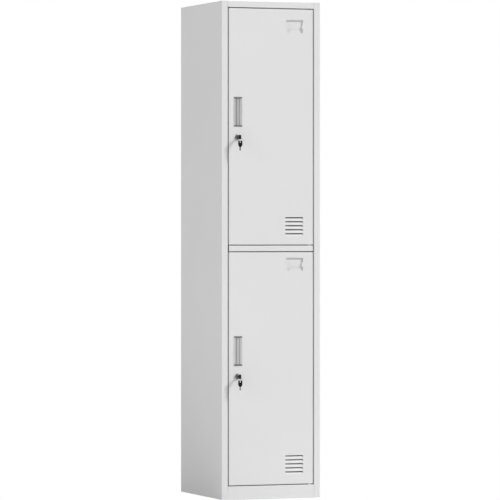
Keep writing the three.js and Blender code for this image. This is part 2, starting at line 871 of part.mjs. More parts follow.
// The keys stand out in front, so the middle of the overall box lies in front of the middle of the case.
locker.updateMatrixWorld(true);
const overall = new THREE.Box3().setFromObject(locker, true);
locker.position.y = -(overall.min.y + overall.max.y) / 2;

export default locker;
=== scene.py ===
"""The finishes and fittings of a two-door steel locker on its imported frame, and the studio around it."""
import math

import bmesh
import bpy
from bpy.props import FloatProperty, FloatVectorProperty, IntProperty, PointerProperty
from bpy.types import Operator, Panel, PropertyGroup
from bpy.utils import register_class, unregister_class
from mathutils import Matrix, Vector


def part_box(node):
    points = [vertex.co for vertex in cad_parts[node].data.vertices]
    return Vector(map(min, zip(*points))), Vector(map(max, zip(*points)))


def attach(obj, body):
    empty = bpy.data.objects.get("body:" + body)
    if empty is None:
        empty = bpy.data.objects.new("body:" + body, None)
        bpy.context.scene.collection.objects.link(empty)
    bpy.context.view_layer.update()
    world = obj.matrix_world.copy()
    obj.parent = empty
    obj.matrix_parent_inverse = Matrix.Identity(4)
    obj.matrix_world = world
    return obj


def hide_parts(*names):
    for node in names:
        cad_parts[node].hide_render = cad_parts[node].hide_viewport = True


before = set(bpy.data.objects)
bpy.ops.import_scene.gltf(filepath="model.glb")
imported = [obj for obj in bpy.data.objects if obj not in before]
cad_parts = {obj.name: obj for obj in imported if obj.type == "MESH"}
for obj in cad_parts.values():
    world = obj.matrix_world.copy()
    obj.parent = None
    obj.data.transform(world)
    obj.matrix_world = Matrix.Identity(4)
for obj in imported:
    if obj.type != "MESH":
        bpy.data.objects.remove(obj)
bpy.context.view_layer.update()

bl_info = {
    "name": "Two-Door Locker",
    "version": (1, 0, 0),
    "blender": (4, 5, 0),
    "location": "3D View > Sidebar > Locker",
    "description": "Dresses the locker's frame with its finishes, fittings and studio",
    "category": "Object",
}

TIERS = ("upper", "lower")
SHELL_NODES = (
    "left_side_panel",
    "right_side_panel",
    "back_panel",
    "roof_and_header",
    "shelf_and_rail",
    "floor_and_plinth",
    "upper_door_stiffener",
    "lower_door_stiffener",
)
AXIS_X = Vector((1, 0, 0))
AXIS_Y = Vector((0, 1, 0))
AXIS_Z = Vector((0, 0, 1))
MERGE_DISTANCE = 1e-6
FLAT_ANGLE = math.radians(0.5)
SMOOTH_ANGLE = math.radians(32)
SOFT_ANGLE = math.radians(40)
BEVEL_ANGLE = math.radians(28)

# The least cosine at which a direction counts as along an axis
ALIGNED = 0.9

# Play around a piece in its hole
PLAY = 0.0003

# How far a cut reaches past the piece that it cuts
OVERRUN = 0.001

# How near to its axis the profile of a solid turned piece starts and ends
POINT = 0.0001

# Depths below the front face of the pull's channel, each with the share of its colour kept there: painted
# shade that darkens the grooves with depth
CHANNEL_SHADE_SHARES = ((0, 1), (0.0012, 0.86), (0.0026, 0.86), (0.0042, 0.72))


# Sizes and colours that a user would change

class LockerPaint(PropertyGroup):
    """The powder coat on the case and doors."""

    colour: FloatVectorProperty(
        name="Colour", description="Colour of the powder coat", subtype="COLOR",
        size=3, min=0, max=1, default=(0.72, 0.72, 0.72),
    )
    tone_spread: FloatProperty(
        name="Tone Spread", description="How far the coat's tone wanders over a panel",
        subtype="FACTOR", min=0, max=0.2, default=0.03,
    )
    roughness: FloatProperty(
        name="Roughness", description="Roughness of the coat", subtype="FACTOR",
        min=0, max=1, default=0.45,
    )
    peel_size: FloatProperty(
        name="Peel Size", description="Width of one dimple of the orange peel",
        unit="LENGTH", min=0.0002, max=0.01, default=0.0014, precision=4,
    )
    peel_depth: FloatProperty(
        name="Peel Depth", description="Depth of the orange peel", unit="LENGTH",
        min=0, max=0.0005, default=0.00005, precision=5,
    )


class LockerFittings(PropertyGroup):
    """The pulls, locks, keys, rods and hinges."""

    pull_colour: FloatVectorProperty(
        name="Pull", description="Colour of the pull's channel", subtype="COLOR",
        size=3, min=0, max=1, default=(0.88, 0.88, 0.88),
    )
    cap_colour: FloatVectorProperty(
        name="Caps", description="Colour of the pull's end caps and the rod sockets", subtype="COLOR",
        size=3, min=0, max=1, default=(0.18, 0.18, 0.18),
    )
    lock_colour: FloatVectorProperty(
        name="Lock", description="Colour of the lock's plated zinc", subtype="COLOR",
        size=3, min=0, max=1, default=(0.3, 0.3, 0.3),
    )
    key_colour: FloatVectorProperty(
        name="Key Bow", description="Colour of the key's moulded bow", subtype="COLOR",
        size=3, min=0, max=1, default=(0.006, 0.006, 0.006),
    )
    steel_colour: FloatVectorProperty(
        name="Plated Steel", description="Colour of the blades, ring, rods and pins", subtype="COLOR",
        size=3, min=0, max=1, default=(0.45, 0.45, 0.45),
    )
    edge_round: FloatProperty(
        name="Edge Round", description="Width of the rounding on moulded and pressed edges",
        unit="LENGTH", min=0, max=0.002, default=0.00035, precision=5,
    )
    round_steps: IntProperty(
        name="Round Steps", description="Steps around a turned piece", min=16, max=128, default=64,
    )


class LockerStage(PropertyGroup):
    """The studio: camera, lights, surroundings and floor."""

    camera_place: FloatVectorProperty(
        name="Camera Place", description="Where the camera stands", subtype="TRANSLATION",
        unit="LENGTH", size=3, default=(-4.5764, -12.43016, 0.97454),
    )
    camera_turn: FloatProperty(
        name="Camera Turn", description="How far the camera is turned to the right", subtype="ANGLE",
        default=math.radians(20.189),
    )
    lens: FloatProperty(
        name="Lens", description="Focal length in millimetres", min=10, max=1000, default=259.41,
    )
    shift: FloatProperty(
        name="Shift", description="Vertical shift of the lens", min=-1, max=1, default=-0.0407,
    )
    main_strength: FloatProperty(
        name="Main Light", description="Strength of the main light", min=0, max=20, default=2.2,
    )
    fill_strength: FloatProperty(
        name="Fill Light", description="Strength of the fill light", min=0, max=20, default=0.82,
    )
    ambient: FloatProperty(
        name="Surroundings", description="Brightness of the surroundings", min=0, max=5, default=0.458,
    )
    floor_size: FloatProperty(
        name="Floor Size", description="Width of the floor", unit="LENGTH", min=5, max=200, default=80,
    )


# Modelling

def deselect_all():
    if bpy.context.object and bpy.context.object.mode != "OBJECT":
        bpy.ops.object.mode_set(mode="OBJECT")
    bpy.ops.object.select_all(action="DESELECT")


def select_only(piece):
    deselect_all()
    piece.select_set(True)
    bpy.context.view_layer.objects.active = piece


def edit(piece):
    select_only(piece)
    bpy.ops.object.mode_set(mode="EDIT")
    bpy.ops.mesh.select_all(action="SELECT")


def leave_edit():
    bpy.ops.object.mode_set(mode="OBJECT")


def select_faces(piece, way):
    """Selects the faces of a piece in edit mode that look along an axis."""
    bpy.ops.mesh.select_all(action="DESELECT")
    mesh = bmesh.from_edit_mesh(piece.data)
    for face in mesh.faces:
        face.select_set(face.normal.dot(way) > ALIGNED)
    mesh.select_flush_mode()
    bmesh.update_edit_mesh(piece.data)


def smooth(piece, angle=SMOOTH_ANGLE):
    """Smooth shading between faces within an angle, which leaves the large faces flat."""
    select_only(piece)
    bpy.ops.object.shade_smooth_by_angle(angle=angle)
    flattening = piece.modifiers.new("Flattening", "WEIGHTED_NORMAL")
    flattening.keep_sharp = True
    flattening.weight = 100
    bpy.ops.object.modifier_apply(modifier=flattening.name)


def bevel(piece, width, segments=2):
    """Rounds every edge of a piece that isn't nearly flat."""
    select_only(piece)
    rounding = piece.modifiers.new("Rounding", "BEVEL")
    rounding.width = width
    rounding.segments = segments
    rounding.limit_method = "ANGLE"
    rounding.angle_limit = BEVEL_ANGLE
    rounding.use_clamp_overlap = True
    bpy.ops.object.modifier_apply(modifier=rounding.name)


def copy_of(piece, name):
    """A copy of a piece with its own mesh."""
    twin = bpy.data.objects.new(name, piece.data.copy())
    bpy.context.scene.collection.objects.link(twin)
    return twin


def whole_copy(node, name):
    """A copy of a CAD node with its loose triangles joined and its flat faces made whole."""
    piece = copy_of(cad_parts[node], name)
    piece.data.materials.clear()
    edit(piece)
    bpy.ops.mesh.customdata_custom_splitnormals_clear()
    bpy.ops.mesh.remove_doubles(threshold=MERGE_DISTANCE)
    bpy.ops.mesh.dissolve_limited(angle_limit=FLAT_ANGLE)
    leave_edit()
    return piece


def turned(name, base, axis, profile, steps):
    """A round piece: a circle extruded along its axis and scaled from each (radius, height) to the next."""
    radius, height = profile[0]
    deselect_all()
    bpy.ops.mesh.primitive_circle_add(
        vertices=steps, radius=radius, fill_type="NOTHING",
        location=base + axis * height, rotation=axis.to_track_quat("Z", "Y").to_euler(),
    )
    piece = bpy.context.object
    piece.name = name
    bpy.ops.object.transform_apply(location=True, rotation=True, scale=True)
    edit(piece)
    for next_radius, next_height in profile[1:]:
        bpy.ops.mesh.extrude_edges_move(
            TRANSFORM_OT_translate={"value": axis * (next_height - height)},
        )
        growth = next_radius / radius
        bpy.ops.transform.resize(
            value=[1 if along else growth for along in map(abs, axis)],
            center_override=base + axis * next_height,
        )
        radius, height = next_radius, next_height
    bpy.ops.mesh.select_all(action="SELECT")
    bpy.ops.mesh.remove_doubles(threshold=MERGE_DISTANCE)
    bpy.ops.mesh.fill_holes(sides=0)
    bpy.ops.mesh.select_all(action="SELECT")
    bpy.ops.mesh.normals_make_consistent(inside=False)
    leave_edit()
    return piece


def box(name, low, high):
    """A box between two corners, as the start of a piece or the shape of a cut."""
    deselect_all()
    bpy.ops.mesh.primitive_cube_add(size=1, location=(low + high) / 2)
    piece = bpy.context.object
    piece.name = name
    piece.scale = high - low
    bpy.ops.object.transform_apply(location=True, rotation=True, scale=True)
    return piece


def combine(piece, tool, operation="DIFFERENCE"):
    """Cuts, joins or keeps the common part of a piece and a second shape, which is then removed."""
    select_only(piece)
    merging = piece.modifiers.new("Merging", "BOOLEAN")
    merging.operation = operation
    merging.solver = "EXACT"
    merging.object = tool
    bpy.ops.object.modifier_apply(modifier=merging.name)
    bpy.data.objects.remove(tool, do_unlink=True)


def round_edges(piece, along, across, place, width, segments):
    """Rounds the edges that run along one axis and stand at a place on another."""
    near = 0.0005
    edit(piece)
    bpy.ops.mesh.select_all(action="DESELECT")
    bpy.ops.mesh.select_mode(type="EDGE")
    mesh = bmesh.from_edit_mesh(piece.data)
    for edge in mesh.edges:
        start, end = (corner.co for corner in edge.verts)
        runs = abs((end - start).normalized().dot(along)) > ALIGNED
        stands = abs(((start + end) / 2).dot(across) - place) < near
        edge.select_set(runs and stands)
    bmesh.update_edit_mesh(piece.data)
    bpy.ops.mesh.bevel(offset=width, offset_type="OFFSET", segments=segments, profile=0.5)
    bpy.ops.mesh.select_mode(type="FACE")
    leave_edit()


def slice_at(piece, place, way):
    """Adds an edge loop where a plane meets a piece, so that no flat face runs all round a hole."""
    edit(piece)
    bpy.ops.mesh.bisect(plane_co=place, plane_no=way)
    leave_edit()


def cross_recess(piece, centre, axis, reach, depth, width):
    """Cuts a cross for a screwdriver into a head, at the middle of its outer face."""
    across = AXIS_Z.cross(axis)
    for long, short in ((across, axis.cross(across)), (axis.cross(across), across)):
        half = long * reach + short * (width / 2) + axis * depth
        half = Vector(abs(part) for part in half)
        combine(piece, box("recess", centre - half, centre + half))


def entry(low, high, axis):
    """The middle of the side of a box at which an axis enters it."""
    middle = (low + high) / 2
    return Vector(
        low[k] if axis[k] > 0 else high[k] if axis[k] < 0 else middle[k]
        for k in range(3)
    )


def dome(radius, foot, height, rim_share):
    """The profile of a dome with an upright rim, from the rim's top to beside the crown."""
    angles = [math.radians(15 * k) for k in range(6)]
    rise_share = 1 - rim_share
    return [(radius * math.cos(a), foot + height * (rim_share + rise_share * math.sin(a))) for a in angles]


def seat(piece, node, body, material):
    """Puts a finished piece on its body, in place of its CAD node, with its finish."""
    piece.data.materials.clear()
    piece.data.materials.append(material)
    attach(piece, body)
    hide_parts(node)
    deselect_all()


def node_name(tier, part):
    return f"{tier}_{part}"


def tier_shift(part):
    """How far the lower fitting lies from the same fitting on the upper door."""
    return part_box(node_name("lower", part))[0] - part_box(node_name("upper", part))[0]


def seat_on_both(piece, part, body, material):
    """Seats a piece that was modelled for the upper door, and a copy of it for the lower door."""
    twin = copy_of(piece, f"lower_{part}_finished")
    twin.data.transform(Matrix.Translation(tier_shift(part)))
    for tier, one in zip(TIERS, (piece, twin)):
        carrier = body if body == "cabinet" else node_name(tier, body)
        seat(one, node_name(tier, part), carrier, material)


# Shared effects, as node groups

def new_group(name, inputs, outputs):
    """A node group, with the sockets that its nodes read from and the ones that they feed."""
    group = bpy.data.node_groups.new(name, "ShaderNodeTree")
    for socket, kind, default in inputs:
        made = group.interface.new_socket(socket, in_out="INPUT", socket_type=kind)
        if default is not None:
            made.default_value = default
    for socket in outputs:
        group.interface.new_socket(socket, in_out="OUTPUT", socket_type="NodeSocketFloat")
    given = group.nodes.new("NodeGroupInput")
    out = group.nodes.new("NodeGroupOutput")
    return group, given.outputs, out.inputs


def add_node(tree, kind, sockets, **settings):
    """A shader node with its settings, and with each socket named given a value or linked to an output."""
    node = tree.nodes.new(f"ShaderNode{kind}")
    for name, value in settings.items():
        setattr(node, name, value)
    for name, value in sockets.items():
        if isinstance(value, bpy.types.NodeSocket):
            tree.links.new(value, node.inputs[name])
        else:
            node.inputs[name].default_value = value
    return node


def calculate(tree, operation, first, second):
    return add_node(tree, "Math", {0: first, 1: second}, operation=operation).outputs["Value"]


def grain_group():
    """Fine dimples of one size, with a slow change of tone: powder coat, moulded plastic, rubber."""
    group, given, out = new_group(
        "Fine Grain",
        [
            ("Vector", "NodeSocketVector", None),
            ("Size", "NodeSocketFloat", 0.001),
            ("Tone Size", "NodeSocketFloat", 0.3),
        ],
        ["Height", "Tone"],
    )
    dimples = add_node(group, "TexNoise", {
        "Vector": given["Vector"], "Scale": calculate(group, "DIVIDE", 1, given["Size"]),
        "Detail": 2, "Roughness": 0.45,
    })
    tone = add_node(group, "TexNoise", {
        "Vector": given["Vector"], "Scale": calculate(group, "DIVIDE", 1, given["Tone Size"]),
        "Detail": 3,
    })
    group.links.new(dimples.outputs["Fac"], out["Height"])
    group.links.new(tone.outputs["Fac"], out["Tone"])
    return group


def brushed_group():
    """Fine streaks along one direction: drawn aluminium and drawn or plated steel."""
    group, given, out = new_group(
        "Brushed Streaks",
        [
            ("Vector", "NodeSocketVector", None),
            ("Stretch", "NodeSocketVector", (1, 1, 1)),
            ("Size", "NodeSocketFloat", 0.0004),
        ],
        ["Height", "Tone"],
    )
    squeezed = add_node(
        group, "VectorMath", {0: given["Vector"], 1: given["Stretch"]}, operation="MULTIPLY",
    )
    streaks = add_node(group, "TexNoise", {
        "Vector": squeezed.outputs["Vector"], "Scale": calculate(group, "DIVIDE", 1, given["Size"]),
        "Detail": 4, "Roughness": 0.6,
    })
    spread = add_node(group, "MapRange", {
        "Value": streaks.outputs["Fac"], "From Min": 0.3, "From Max": 0.7,
    })
    group.links.new(streaks.outputs["Fac"], out["Height"])
    group.links.new(spread.outputs["Result"], out["Tone"])
    return group


def handling_group():
    """Faint smudges and hairline scratches from hands and keys, as a mask from 0 to 1."""
    group, given, out = new_group(
        "Handling Marks",
        [
            ("Vector", "NodeSocketVector", None),
            ("Size", "NodeSocketFloat", 0.01),
            ("Amount", "NodeSocketFloat", 0.5),
        ],
        ["Mask"],
    )
    smudge_share = 0.6
    scale = calculate(group, "DIVIDE", 1, given["Size"])
    smudge = add_node(group, "TexNoise", {
        "Vector": given["Vector"], "Scale": scale, "Detail": 5, "Distortion": 0.6,
    })
    scratch = add_node(
        group, "TexVoronoi", {"Vector": given["Vector"], "Scale": scale}, feature="DISTANCE_TO_EDGE",
    )
    hairline = add_node(group, "MapRange", {
        "Value": scratch.outputs["Distance"], "From Max": 0.03, "To Min": 1, "To Max": 0,
    })
    worn = calculate(group, "MULTIPLY", hairline.outputs["Result"], smudge.outputs["Fac"])
    touched = calculate(group, "MULTIPLY", smudge.outputs["Fac"], smudge_share)
    both = calculate(group, "MAXIMUM", worn, touched)
    group.links.new(calculate(group, "MULTIPLY", both, given["Amount"]), out["Mask"])
    return group


# Finishes

def new_material(name, metallic, roughness):
    material = bpy.data.materials.new(name)
    material.use_nodes = True
    tree = material.node_tree
    shader = tree.nodes["Principled BSDF"]
    shader.inputs["Metallic"].default_value = metallic
    shader.inputs["Roughness"].default_value = roughness
    place = tree.nodes.new("ShaderNodeTexCoord").outputs["Object"]
    return material, tree, shader, place


def vary_colour(tree, shader, mask, colour, spread_share):
    """Lets a mask move the base colour by a share to each side of a colour."""
    mix = add_node(tree, "Mix", {
        "Factor": mask,
        "A": [c * (1 - spread_share) for c in colour] + [1],
        "B": [min(1, c * (1 + spread_share)) for c in colour] + [1],
    }, data_type="RGBA")
    tree.links.new(mix.outputs["Result"], shader.inputs["Base Color"])


def vary_roughness(tree, shader, mask, low, high):
    spread = add_node(tree, "MapRange", {"Value": mask, "To Min": low, "To Max": high})
    tree.links.new(spread.outputs["Result"], shader.inputs["Roughness"])


def raise_surface(tree, shader, height, depth):
    bump = add_node(tree, "Bump", {"Height": height, "Distance": depth})
    tree.links.new(bump.outputs["Normal"], shader.inputs["Normal"])


def powder_coat(groups, paint):
    material, tree, shader, place = new_material(
        "powder_coat_finish", metallic=0, roughness=paint.roughness,
    )
    grain = add_node(tree, "Group", {
        "Vector": place, "Size": paint.peel_size, "Tone Size": 0.35,
    }, node_tree=groups["grain"])
    marks = add_node(tree, "Group", {
        "Vector": place, "Size": 0.06, "Amount": 0.5,
    }, node_tree=groups["marks"])
    polished = paint.roughness - 0.05
    dulled = paint.roughness + 0.08
    vary_colour(tree, shader, grain.outputs["Tone"], paint.colour, paint.tone_spread)
    vary_roughness(tree, shader, marks.outputs["Mask"], polished, dulled)
    raise_surface(tree, shader, grain.outputs["Height"], paint.peel_depth)
    return material


def moulded(groups, name, colour, roughness, grain_size, grain_depth, marks=0.4, gloss=0.5):
    """Moulded plastic, nylon or rubber: an even grain from the mould, and smudges in its gloss."""
    material, tree, shader, place = new_material(name, metallic=0, roughness=roughness)
    shader.inputs["Specular IOR Level"].default_value = gloss
    grain = add_node(tree, "Group", {
        "Vector": place, "Size": grain_size, "Tone Size": 0.02,
    }, node_tree=groups["grain"])
    smudges = add_node(tree, "Group", {
        "Vector": place, "Size": 0.008, "Amount": marks,
    }, node_tree=groups["marks"])
    polished = roughness - 0.06
    dulled = roughness + 0.12
    vary_colour(tree, shader, grain.outputs["Tone"], colour, spread_share=0.08)
    vary_roughness(tree, shader, smudges.outputs["Mask"], polished, dulled)
    raise_surface(tree, shader, grain.outputs["Height"], grain_depth)
    return material


def metal(groups, name, colour, roughness, stretch, streak_size, depth):
    """Bare or plated metal: streaks from drawing or polishing, and hairline scratches."""
    material, tree, shader, place = new_material(name, metallic=1, roughness=roughness)
    streaks = add_node(tree, "Group", {
        "Vector": place, "Stretch": stretch, "Size": streak_size,
    }, node_tree=groups["streaks"])
    marks = add_node(tree, "Group", {
        "Vector": place, "Size": 0.006, "Amount": 0.6,
    }, node_tree=groups["marks"])
    polished = roughness - 0.05
    dulled = roughness + 0.15
    vary_colour(tree, shader, streaks.outputs["Tone"], colour, spread_share=0.07)
    vary_roughness(tree, shader, marks.outputs["Mask"], polished, dulled)
    raise_surface(tree, shader, streaks.outputs["Height"], depth)
    return material


def drawn_channel(groups, colour):
    """Drawn aluminium, with painted shade in its colour that darkens it with depth down in its grooves."""
    material = metal(
        groups, "drawn_aluminium_finish", colour,
        roughness=0.42, stretch=(1, 1, 0.02), streak_size=0.0003, depth=0.000004,
    )
    tree = material.node_tree
    shader = tree.nodes["Principled BSDF"]
    front_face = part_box("upper_pull_channel")[0].y
    deepest = CHANNEL_SHADE_SHARES[-1][0]
    place = tree.nodes.new("ShaderNodeTexCoord").outputs["Object"]
    along = add_node(tree, "SeparateXYZ", {"Vector": place})
    depth = add_node(tree, "MapRange", {
        "Value": along.outputs["Y"], "From Min": front_face, "From Max": front_face + deepest,
    })
    left = add_node(tree, "FloatCurve", {"Value": depth.outputs["Result"]})
    curve = left.mapping.curves[0]
    while len(curve.points) < len(CHANNEL_SHADE_SHARES):
        curve.points.new(0.5, 0.5)
    for point, (level, share) in zip(curve.points, CHANNEL_SHADE_SHARES):
        point.location = (level / deepest, share)
    left.mapping.update()
    # Painted shade: the streaked colour is scaled down by the share for its depth in the channel
    streaked = shader.inputs["Base Color"].links[0].from_socket
    dulled = add_node(
        tree, "VectorMath", {0: streaked, "Scale": left.outputs["Value"]}, operation="SCALE",
    )
    tree.links.new(dulled.outputs["Vector"], shader.inputs["Base Color"])
    return material


def make_finishes():
    paint = bpy.context.scene.locker_paint
    fittings = bpy.context.scene.locker_fittings
    groups = {"grain": grain_group(), "streaks": brushed_group(), "marks": handling_group()}
    powder_coat(groups, paint)
    drawn_channel(groups, fittings.pull_colour)
    moulded(
        groups, "cap_plastic_finish", fittings.cap_colour,
        roughness=0.55, grain_size=0.0004, grain_depth=0.00001,
    )
    moulded(
        groups, "bow_plastic_finish", fittings.key_colour,
        roughness=0.42, grain_size=0.0003, grain_depth=0.000008, marks=0.6, gloss=0.15,
    )
    moulded(
        groups, "nylon_finish", (0.78, 0.78, 0.74),
        roughness=0.5, grain_size=0.0005, grain_depth=0.000006,
    )
    moulded(
        groups, "rubber_finish", (0.022, 0.022, 0.022),
        roughness=0.85, grain_size=0.0004, grain_depth=0.00002,
    )
    metal(
        groups, "plated_zinc_finish", fittings.lock_colour,
        roughness=0.4, stretch=(1, 1, 1), streak_size=0.0006, depth=0.000003,
    )
    metal(
        groups, "plated_steel_finish", fittings.steel_colour,
        roughness=0.25, stretch=(1, 0.05, 1), streak_size=0.0005, depth=0.000003,
    )
    metal(
        groups, "drawn_rod_finish", fittings.steel_colour,
        roughness=0.22, stretch=(0.02, 1, 1), streak_size=0.0005, depth=0.000003,
    )


def finishes():
    """Every finish of the locker by name, made once."""
    if "powder_coat_finish" not in bpy.data.materials:
        make_finishes()
    return {material.name: material for material in bpy.data.materials if material.name.endswith("_finish")}


# Pieces

class LOCKER_OT_case(Operator):
    """Coat the case, its trays and the door stiffeners"""

    bl_idname = "locker.case"
    bl_label = "Case"

    def execute(self, context):
        coat = finishes()["powder_coat_finish"]
        for name in SHELL_NODES:
            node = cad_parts[name]
            node.data.materials.clear()
            node.data.materials.append(coat)
        return {"FINISHED"}


class LOCKER_OT_doors(Operator):
    """Round the doors' folded edges, louvres and card holders, and coat them"""

    bl_idname = "locker.doors"
    bl_label = "Doors"

    def execute(self, context):
        coat = finishes()["powder_coat_finish"]
        for tier in TIERS:
            node = node_name(tier, "door_panel")
            skin = whole_copy(node, f"{tier}_door_skin")
            bevel(skin, context.scene.locker_fittings.edge_round / 2)
            smooth(skin)
            seat(skin, node, node_name(tier, "door"), coat)
        return {"FINISHED"}


class LOCKER_OT_pulls(Operator):
    """Model the sunk pulls: the channel and its two end caps"""

    bl_idname = "locker.pulls"
    bl_label = "Pulls"

    def execute(self, context):
        made = finishes()
        width = context.scene.locker_fittings.edge_round
        parts = (
            ("pull_channel", "aluminium", "drawn_aluminium_finish"),
            ("pull_top_cap", "grey_plastic", "cap_plastic_finish"),
            ("pull_bottom_cap", "grey_plastic", "cap_plastic_finish"),
        )
        for part, slot, finish in parts:
            piece = whole_copy(node_name("upper", part), f"upper_{part}_finished")
            bevel(piece, width, segments=3)
            smooth(piece)
            seat_on_both(piece, part, "door", made[finish])
        return {"FINISHED"}


class LOCKER_OT_locks(Operator):
    """Model the cam locks: body, nut, plug, cam and screw"""

    bl_idname = "locker.locks"
    bl_label = "Locks"

    rim: FloatProperty(
        name="Rim", description="Width of the raised rim around the plug", unit="LENGTH",
        min=0, max=0.003, default=0.0012, precision=4,
    )
    tenon: FloatProperty(
        name="Tenon", description="Half the width of the square on the plug that turns the cam",
        unit="LENGTH", min=0.001, max=0.005, default=0.003, precision=4,
    )

    def execute(self, context):
        made = finishes()
        fittings = context.scene.locker_fittings
        steps = fittings.round_steps
        collar = 0.00205
        low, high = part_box("upper_lock_body")
        barrel = (high.z - low.z) / 2 - collar
        self.body(made["plated_zinc_finish"], barrel, steps)
        self.nut(made["plated_zinc_finish"], barrel, steps)
        self.plug(made["plated_zinc_finish"], steps)
        self.cam(made["plated_steel_finish"], fittings.edge_round)
        self.screw(made["plated_steel_finish"], steps)
        return {"FINISHED"}

    def body(self, finish, barrel, steps):
        """A flange with a raised rim around the plug, and a threaded barrel behind it."""
        low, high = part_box("upper_lock_body")
        plug_low, plug_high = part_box("upper_lock_plug")
        length = high.y - low.y
        flange = (high.z - low.z) / 2
        flange_depth = 0.0057
        bore = (plug_high.z - plug_low.z) / 2 + PLAY
        mouth = 0.0006
        sunk = 0.0005
        shoulder = 0.0018
        shoulder_width = 0.0016
        profile = [
            (bore, length),
            (bore, mouth),
            (bore + self.rim / 4, 0),
            (bore + self.rim, 0),
            (bore + self.rim * 1.3, sunk),
            (flange - shoulder_width, sunk),
            (flange - shoulder / 3, shoulder / 2),
            (flange, shoulder),
            (flange, flange_depth),
            (barrel, flange_depth),
        ]
        turns = 14
        relief = 0.0005
        pitch = (length - flange_depth - 2 * relief) / turns
        thread = 0.00035
        thread_shares = ((0, 0), (0.35, 1), (0.5, 1), (0.85, 0))
        for k in range(turns):
            start = flange_depth + relief + k * pitch
            profile += [(barrel - thread * cut, start + pitch * along) for along, cut in thread_shares]
        profile += [(barrel - thread, length), (bore, length)]
        body = turned("upper_lock_body_finished", entry(low, high, AXIS_Y), AXIS_Y, profile, steps)
        smooth(body)
        seat_on_both(body, "lock_body", "door", finish)

    def nut(self, finish, barrel, steps):
        """A hexagon nut with turned corners, on the barrel's thread."""
        low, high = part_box("upper_lock_nut")
        base = entry(low, high, AXIS_Y)
        height = high.y - low.y
        corner = (high.z - low.z) / 2
        flat = (high.x - low.x) / 2
        turned_share = 0.98
        chamfer = corner - flat * turned_share
        bore = barrel + PLAY
        prism = [(POINT, 0), (corner, 0), (corner, height), (POINT, height)]
        blank = [
            (POINT, 0),
            (corner - chamfer, 0),
            (corner, chamfer / 2),
            (corner, height - chamfer / 2),
            (corner - chamfer, height),
            (POINT, height),
        ]
        hexagon = turned("upper_lock_nut_finished", base, AXIS_Y, prism, 6)
        combine(hexagon, turned("nut_blank", base, AXIS_Y, blank, steps), "INTERSECT")
        hole = turned("nut_bore", base - AXIS_Y * height, AXIS_Y, [(bore, 0), (bore, height * 3)], steps)
        combine(hexagon, hole)
        smooth(hexagon)
        seat_on_both(hexagon, "lock_nut", "door", finish)

    def plug(self, finish, steps):
        """The plug that the key turns: a round face with its keyway, and a square tenon behind."""
        low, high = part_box("upper_lock_plug")
        cam_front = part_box("upper_lock_cam")[0].y
        blade_low, blade_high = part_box("upper_key_blade")
        radius = (high.z - low.z) / 2
        shoulder = cam_front - low.y - PLAY
        edge = 0.0004
        slot_edge = 0.00015
        profile = [
            (POINT, 0),
            (radius - edge, 0),
            (radius, edge),
            (radius, shoulder - edge),
            (radius - edge, shoulder),
            (POINT, shoulder),
        ]
        plug = turned("upper_lock_plug_finished", entry(low, high, AXIS_Y), AXIS_Y, profile, steps)
        tenon_end = entry(low, high, -AXIS_Y)
        tenon_start = tenon_end.copy()
        tenon_start.y = cam_front - OVERRUN
        half = Vector((self.tenon, 0, self.tenon))
        combine(plug, box("tenon", tenon_start - half, tenon_end + half), "UNION")
        play = Vector((PLAY, PLAY, PLAY))
        slot_low = blade_low - play
        slot_low.y = low.y - OVERRUN
        combine(plug, box("keyway", slot_low, blade_high + play))
        bevel(plug, slot_edge)
        smooth(plug)
        seat_on_both(plug, "lock_plug", "plug", finish)

    def cam(self, finish, width):
        """The flat tongue that turns behind the stile, with a round end over the plug's tenon."""
        low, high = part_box("upper_lock_cam")
        cam = box("upper_lock_cam_finished", low, high)
        radius = (high.x - low.x) / 2
        half = self.tenon + PLAY
        for end, corner_share, segments in ((high.z, 0.998, 16), (low.z, 0.4, 8)):
            round_edges(cam, AXIS_Y, AXIS_Z, end, radius * corner_share, segments)
        eye = (low + high) / 2
        eye.z = high.z - radius
        reach = Vector((half, (high.y - low.y) / 2 + OVERRUN, half))
        combine(cam, box("tenon_hole", eye - reach, eye + reach))
        edge_share = 0.7
        bevel(cam, width * edge_share)
        smooth(cam)
        seat_on_both(cam, "lock_cam", "plug", finish)

    def screw(self, finish, steps):
        """The pan-head screw that holds the cam, with a cross for a screwdriver."""
        low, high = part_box("upper_cam_screw")
        cam_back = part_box("upper_lock_cam")[1].y
        base = entry(low, high, AXIS_Y)
        head = (high.z - low.z) / 2
        shank = head / 2
        top = high.y - low.y
        head_foot = cam_back + PLAY - low.y
        head_height = top - head_foot
        profile = [(POINT, 0), (shank, 0), (shank, head_foot), (head, head_foot)]
        profile += dome(head, head_foot, head_height, rim_share=0.35)
        profile.append((POINT, top))
        screw = turned("upper_cam_screw_finished", base, AXIS_Y, profile, steps)
        cross_recess(
            screw, base + AXIS_Y * top, AXIS_Y,
            reach=head * 0.55, depth=head_height * 0.6, width=head * 0.22,
        )
        smooth(screw)
        seat_on_both(screw, "cam_screw", "plug", finish)


